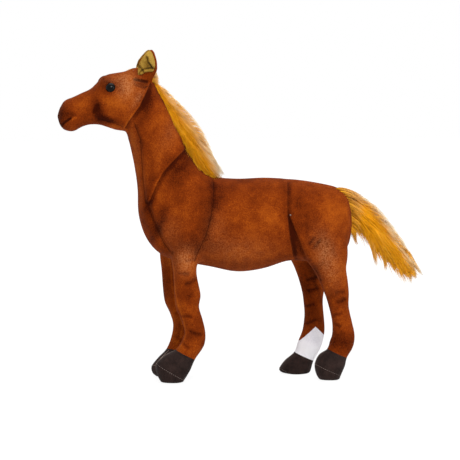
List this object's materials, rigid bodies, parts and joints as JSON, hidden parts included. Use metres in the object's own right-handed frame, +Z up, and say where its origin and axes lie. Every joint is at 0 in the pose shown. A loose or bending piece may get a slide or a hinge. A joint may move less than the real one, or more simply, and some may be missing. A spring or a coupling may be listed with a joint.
{
  "type": "plush horse",
  "caption": "Standing plush horse of sewn velour panels over filling, with long-pile mane and tail, suede hooves and safety eyes; head, legs, tail and ears give at their seams.",
  "frame": {"origin": "on the floor, under the middle of the whole horse from nose to tail tip", "axes": "-X towards the nose, +X towards the tail, -Y the horse's left, +Z up"},
  "size_m": [0.3996, 0.091, 0.3634],
  "materials": {
    "chestnut_velour": "short-pile velour, shaded darker along seams",
    "dark_suede": "dark brown suede cloth",
    "white_velour": "white short-pile velour",
    "olive_suede": "olive gold suede cloth",
    "golden_long_pile": "long combed pile",
    "polyester_filling": "loose polyester fibre",
    "eye_plastic": "polished",
    "washer_plastic": "natural moulded"
  },
  "bodies": {
    "trunk": {"throat_gusset": "chestnut_velour", "chest_gusset": "chestnut_velour", "belly_gusset": "chestnut_velour", "neck_left": "chestnut_velour", "neck_right": "chestnut_velour", "shoulder_left": "chestnut_velour", "shoulder_right": "chestnut_velour", "barrel_left": "chestnut_velour", "barrel_right": "chestnut_velour", "rump_left": "chestnut_velour", "rump_right": "chestnut_velour", "stuffing_trunk": "polyester_filling", "mane": "golden_long_pile"},
    "head": {"head_left": "chestnut_velour", "head_right": "chestnut_velour", "jaw_gusset": "chestnut_velour", "stuffing_head": "polyester_filling", "eye_left": "eye_plastic", "eye_right": "eye_plastic", "eye_washer_left": "washer_plastic", "eye_washer_right": "washer_plastic", "forelock": "golden_long_pile"},
    "ear_left": {"ear_left": "chestnut_velour", "ear_lining_left": "olive_suede"},
    "ear_right": {"ear_right": "chestnut_velour", "ear_lining_right": "olive_suede"},
    "dock": {"tail_dock": "chestnut_velour"},
    "tail": {"tail": "golden_long_pile"},
    "foreleg_left": {"leg_fore_left": "chestnut_velour", "hoof_fore_left": "dark_suede", "sole_fore_left": "dark_suede", "stuffing_fore_left": "polyester_filling"},
    "foreleg_right": {"leg_fore_right": "chestnut_velour", "hoof_fore_right": "dark_suede", "sole_fore_right": "dark_suede", "stuffing_fore_right": "polyester_filling"},
    "hindleg_left": {"leg_hind_left": "chestnut_velour", "hoof_hind_left": "dark_suede", "sole_hind_left": "dark_suede", "stuffing_hind_left": "polyester_filling"},
    "hindleg_right": {"leg_hind_right": "chestnut_velour", "sock_hind_right": "white_velour", "hoof_hind_right": "dark_suede", "sole_hind_right": "dark_suede", "stuffing_hind_right": "polyester_filling"}
  },
  "joints": [
    {"name": "head_nod", "type": "hinge", "parent": "trunk", "child": "head", "pos_m": [-0.10781, 0, 0.30143], "axis": [0, 1, 0], "range_deg": [-10, 10], "stiffness_Nm_per_rad": 0.6},
    {"name": "ear_left_fold", "type": "hinge", "parent": "head", "child": "ear_left", "pos_m": [-0.10229, -0.013, 0.33325], "axis": [1, 0, 0], "range_deg": [-15, 15], "stiffness_Nm_per_rad": 0.03},
    {"name": "ear_right_fold", "type": "hinge", "parent": "head", "child": "ear_right", "pos_m": [-0.10229, 0.013, 0.33325], "axis": [1, 0, 0], "range_deg": [-15, 15], "stiffness_Nm_per_rad": 0.03},
    {"name": "tail_lift", "type": "hinge", "parent": "trunk", "child": "dock", "pos_m": [0.11678, 0, 0.1935], "axis": [0, -1, 0], "range_deg": [-6, 30], "stiffness_Nm_per_rad": 0.15},
    {"name": "tail_swing", "type": "hinge", "parent": "dock", "child": "tail", "pos_m": [0.11678, 0, 0.1935], "axis": [0, 0, 1], "range_deg": [-20, 20], "stiffness_Nm_per_rad": 0.1},
    {"name": "foreleg_left_swing", "type": "hinge", "parent": "trunk", "child": "foreleg_left", "pos_m": [-0.06481, -0.029, 0.1395], "axis": [0, 1, 0], "range_deg": [-12, 12], "stiffness_Nm_per_rad": 1.2},
    {"name": "foreleg_right_swing", "type": "hinge", "parent": "trunk", "child": "foreleg_right", "pos_m": [-0.07235, 0.029, 0.1395], "axis": [0, 1, 0], "range_deg": [-12, 12], "stiffness_Nm_per_rad": 1.2},
    {"name": "hindleg_left_swing", "type": "hinge", "parent": "trunk", "child": "hindleg_left", "pos_m": [0.0915, -0.029, 0.1415], "axis": [0, 1, 0], "range_deg": [-12, 12], "stiffness_Nm_per_rad": 1.2},
    {"name": "hindleg_right_swing", "type": "hinge", "parent": "trunk", "child": "hindleg_right", "pos_m": [0.08019, 0.029, 0.1415], "axis": [0, 1, 0], "range_deg": [-12, 12], "stiffness_Nm_per_rad": 1.2}
  ]
}
